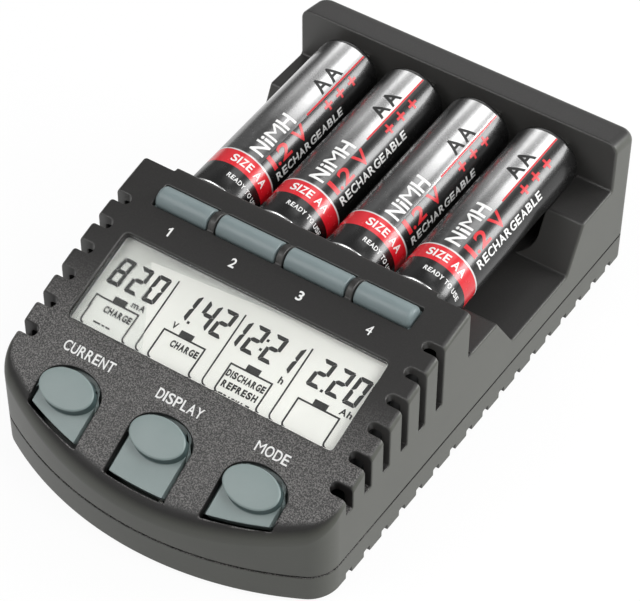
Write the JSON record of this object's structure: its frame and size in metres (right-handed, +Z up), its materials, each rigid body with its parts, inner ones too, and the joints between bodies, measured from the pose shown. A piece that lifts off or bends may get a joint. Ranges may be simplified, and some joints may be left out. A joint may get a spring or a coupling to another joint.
{
  "type": "aa battery charger",
  "caption": "Desktop charger for AA or AAA cells: arched black case with a sloping display, push buttons and an open battery bay holding a row of cells.",
  "frame": {"origin": "on the table under the middle of the case", "axes": "+X across the cells to the right, +Y from the front of the case to the rear, +Z up"},
  "size_m": [0.075, 0.1204, 0.0373],
  "materials": {
    "case_plastic": "fine grained matte black-grey moulding",
    "clear_window": "clear moulded window",
    "lcd_glass": "pale grey liquid crystal display",
    "holder_plastic": "black moulding",
    "conductive_rubber": "soft striped rubber",
    "board": "green solder mask",
    "black_plastic": "black moulding",
    "capacitor_can": "sleeved can",
    "cable": "flat ribbon",
    "connector_plastic": "ivory moulding",
    "contact_metal": "nickel plated spring strip",
    "screw_metal": "plated screw",
    "foot_rubber": "soft black rubber",
    "cell_can": "metallic printed sleeve with black and red bands",
    "button_plastic": "satin blue-grey moulding"
  },
  "bodies": {
    "case": {"base_shell": "case_plastic", "top_shell": "case_plastic", "lcd_window": "clear_window", "lcd_panel": "lcd_glass", "lcd_holder": "holder_plastic", "lcd_connector_strips": "conductive_rubber", "control_board": "board", "main_board": "board", "tact_switches": "black_plastic", "controller_chip": "black_plastic", "power_inductors": "black_plastic", "power_transistors": "black_plastic", "filter_capacitors": "capacitor_can", "flat_cable": "cable", "cable_connectors": "connector_plastic", "dc_jack": "black_plastic", "jack_pin": "contact_metal", "case_screws": "screw_metal", "board_screws": "screw_metal", "rubber_feet": "foot_rubber", "positive_contact_1": "contact_metal", "negative_contact_1": "contact_metal", "small_cell_contact_1": "contact_metal", "cell_1": "cell_can", "positive_contact_2": "contact_metal", "negative_contact_2": "contact_metal", "small_cell_contact_2": "contact_metal", "cell_2": "cell_can", "positive_contact_3": "contact_metal", "negative_contact_3": "contact_metal", "small_cell_contact_3": "contact_metal", "cell_3": "cell_can", "positive_contact_4": "contact_metal", "negative_contact_4": "contact_metal", "small_cell_contact_4": "contact_metal", "cell_4": "cell_can"},
    "channel_1": {"channel_button_1": "button_plastic"},
    "channel_2": {"channel_button_2": "button_plastic"},
    "channel_3": {"channel_button_3": "button_plastic"},
    "channel_4": {"channel_button_4": "button_plastic"},
    "current": {"current_button": "button_plastic"},
    "display": {"display_button": "button_plastic"},
    "mode": {"mode_button": "button_plastic"}
  },
  "joints": [
    {"name": "channel_1_press", "type": "slide", "parent": "case", "child": "channel_1", "axis": [0, 0.2069, -0.9784], "range_m": [0, 0.0005], "stiffness_N_per_m": 2000},
    {"name": "channel_2_press", "type": "slide", "parent": "case", "child": "channel_2", "axis": [0, 0.2069, -0.9784], "range_m": [0, 0.0005], "stiffness_N_per_m": 2000},
    {"name": "channel_3_press", "type": "slide", "parent": "case", "child": "channel_3", "axis": [0, 0.2069, -0.9784], "range_m": [0, 0.0005], "stiffness_N_per_m": 2000},
    {"name": "channel_4_press", "type": "slide", "parent": "case", "child": "channel_4", "axis": [0, 0.2069, -0.9784], "range_m": [0, 0.0005], "stiffness_N_per_m": 2000},
    {"name": "current_press", "type": "slide", "parent": "case", "child": "current", "axis": [0, 0.4597, -0.8881], "range_m": [0, 0.0005], "stiffness_N_per_m": 2000},
    {"name": "display_press", "type": "slide", "parent": "case", "child": "display", "axis": [0, 0.4597, -0.8881], "range_m": [0, 0.0005], "stiffness_N_per_m": 2000},
    {"name": "mode_press", "type": "slide", "parent": "case", "child": "mode", "axis": [0, 0.4597, -0.8881], "range_m": [0, 0.0005], "stiffness_N_per_m": 2000}
  ]
}
